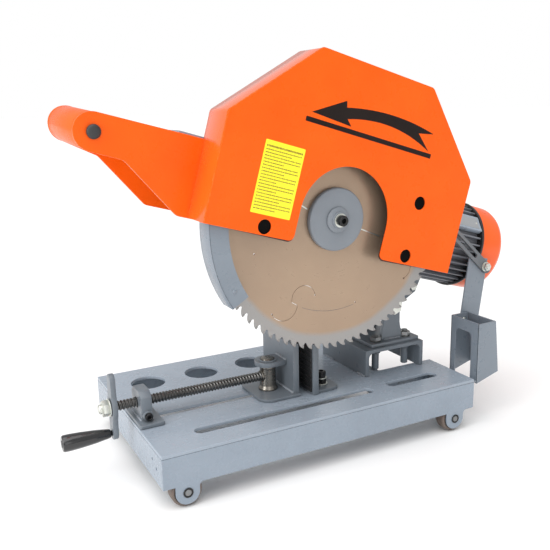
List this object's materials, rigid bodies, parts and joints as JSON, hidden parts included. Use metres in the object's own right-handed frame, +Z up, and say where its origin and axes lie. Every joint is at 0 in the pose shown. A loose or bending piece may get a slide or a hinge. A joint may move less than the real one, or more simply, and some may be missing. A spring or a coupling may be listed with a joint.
{
  "type": "metal-cutting chop saw",
  "caption": "Bench-height metal-cutting chop saw: wheeled slotted table, crank screw vise, tilting head with geared motor, toothed blade, faceted guard, handle and chip chute.",
  "frame": {"origin": "centre of the whole object's box, on the floor under the wheels", "axes": "+X from the crank and handle towards the motor and chip chute, +Y from the operator's side to the back, +Z up"},
  "size_m": [0.8194, 0.34, 0.6108],
  "materials": {
    "blue_grey_paint": "semi-gloss hammered blue-grey paint",
    "orange_paint": "glossy orange powder coat",
    "dark_grey_paint": "satin dark grey paint",
    "cast_aluminium": "painted grey aluminium casting",
    "blade_steel": "ground and lacquered tool steel",
    "bright_steel": "turned steel",
    "dark_steel": "oiled dark steel",
    "zinc_plate": "bright zinc plating",
    "black_oxide": "black oxide",
    "black_plastic": "gloss black moulding",
    "wheel_polymer": "matt taupe polyurethane",
    "copper_winding": "varnished copper winding"
  },
  "bodies": {
    "base": {"table_plate": "blue_grey_paint", "table_skirt": "blue_grey_paint", "axle_front_left": "zinc_plate", "axle_front_right": "zinc_plate", "axle_rear_left": "zinc_plate", "axle_rear_right": "zinc_plate", "hinge_stand": "blue_grey_paint", "stand_bolt_1": "dark_grey_paint", "stand_bolt_2": "zinc_plate", "pivot_bracket": "blue_grey_paint", "pivot_shaft": "dark_steel", "stop_bolt": "zinc_plate", "return_spring": "dark_steel", "fixed_jaw": "blue_grey_paint", "fixed_jaw_face": "dark_grey_paint", "fixed_jaw_bolt_1": "black_oxide", "fixed_jaw_bolt_2": "black_oxide", "nut_block": "blue_grey_paint"},
    "wheel_front_left": {"wheel_front_left": "wheel_polymer"},
    "wheel_front_right": {"wheel_front_right": "wheel_polymer"},
    "wheel_rear_left": {"wheel_rear_left": "wheel_polymer"},
    "wheel_rear_right": {"wheel_rear_right": "wheel_polymer"},
    "head": {"guard_shell": "orange_paint", "guard_front_panel": "orange_paint", "gearbox_housing": "cast_aluminium", "gearbox_cover": "cast_aluminium", "spindle_bearing": "bright_steel", "motor_frame": "cast_aluminium", "motor_end_bell": "cast_aluminium", "motor_rear_ring": "cast_aluminium", "stator": "copper_winding", "fan_cover": "orange_paint", "terminal_box": "cast_aluminium", "swing_arm": "blue_grey_paint", "handle_plate_front": "orange_paint", "handle_plate_rear": "orange_paint", "handle_tube": "orange_paint", "handle_bridge": "blue_grey_paint", "start_switch": "black_plastic", "chute_arm": "dark_grey_paint", "chute_bolt": "zinc_plate", "chute_hanger": "blue_grey_paint", "chip_chute": "blue_grey_paint"},
    "blade_set": {"spindle": "bright_steel", "saw_blade": "blade_steel", "outer_flange": "bright_steel", "inner_flange": "bright_steel", "arbor_bolt": "black_oxide", "crown_gear": "dark_steel"},
    "rotor_set": {"motor_rotor": "dark_steel", "cooling_fan": "black_plastic", "drive_pinion": "dark_steel"},
    "lower_guard": {"lower_guard": "blue_grey_paint"},
    "start_button": {"start_button": "black_plastic"},
    "moving_jaw": {"screw_barrel": "dark_steel", "moving_jaw": "blue_grey_paint"},
    "vise_screw": {"lead_screw": "dark_steel", "crank_arm": "blue_grey_paint", "grip_pin": "black_oxide"},
    "crank_grip": {"crank_grip": "black_plastic"}
  },
  "joints": [
    {"name": "wheel_front_left_spin", "type": "hinge", "parent": "base", "child": "wheel_front_left", "pos_m": [-0.26866, -0.155, 0.0225], "axis": [0, 1, 0], "continuous": true},
    {"name": "wheel_front_right_spin", "type": "hinge", "parent": "base", "child": "wheel_front_right", "pos_m": [0.20234, -0.155, 0.0225], "axis": [0, 1, 0], "continuous": true},
    {"name": "wheel_rear_left_spin", "type": "hinge", "parent": "base", "child": "wheel_rear_left", "pos_m": [-0.26866, 0.155, 0.0225], "axis": [0, 1, 0], "continuous": true},
    {"name": "wheel_rear_right_spin", "type": "hinge", "parent": "base", "child": "wheel_rear_right", "pos_m": [0.09134, 0.155, 0.0225], "axis": [0, 1, 0], "continuous": true},
    {"name": "head_swing", "type": "hinge", "parent": "base", "child": "head", "pos_m": [0.15834, -0.0095, 0.196], "axis": [0, -1, 0], "range_deg": [0, 31], "stiffness_Nm_per_rad": 60, "springref_deg": -38.9},
    {"name": "blade_spin", "type": "hinge", "parent": "head", "child": "blade_set", "pos_m": [-0.00266, -0.1185, 0.369], "axis": [0, 1, 0], "continuous": true},
    {"name": "rotor_spin", "type": "hinge", "parent": "head", "child": "rotor_set", "pos_m": [-0.00128, 0.0065, 0.37381], "axis": [0.9613, 0, -0.2756], "continuous": true},
    {"name": "lower_guard_turn", "type": "hinge", "parent": "head", "child": "lower_guard", "pos_m": [-0.00266, -0.1185, 0.369], "axis": [0, -1, 0], "range_deg": [-31, 0]},
    {"name": "start_button_press", "type": "slide", "parent": "head", "child": "start_button", "axis": [0, 1, 0], "range_m": [0, 0.003], "stiffness_N_per_m": 300, "springref_m": -0.002},
    {"name": "vise_slide", "type": "slide", "parent": "base", "child": "moving_jaw", "axis": [1, 0, 0], "range_m": [-0.15, 0.014]},
    {"name": "vise_crank", "type": "hinge", "parent": "moving_jaw", "child": "vise_screw", "pos_m": [-0.30366, -0.0375, 0.112], "axis": [1, 0, 0], "range_deg": [-10800, 1000]},
    {"name": "crank_grip_spin", "type": "hinge", "parent": "vise_screw", "child": "crank_grip", "pos_m": [-0.37366, -0.0375, 0.072], "axis": [1, 0, 0], "continuous": true}
  ],
  "couplings": [
    {"joint": "rotor_spin", "follows": "blade_spin", "ratio": -3.8},
    {"joint": "lower_guard_turn", "follows": "head_swing", "ratio": -1},
    {"joint": "vise_slide", "follows": "vise_crank", "m_per_rad": 0.00079577}
  ]
}
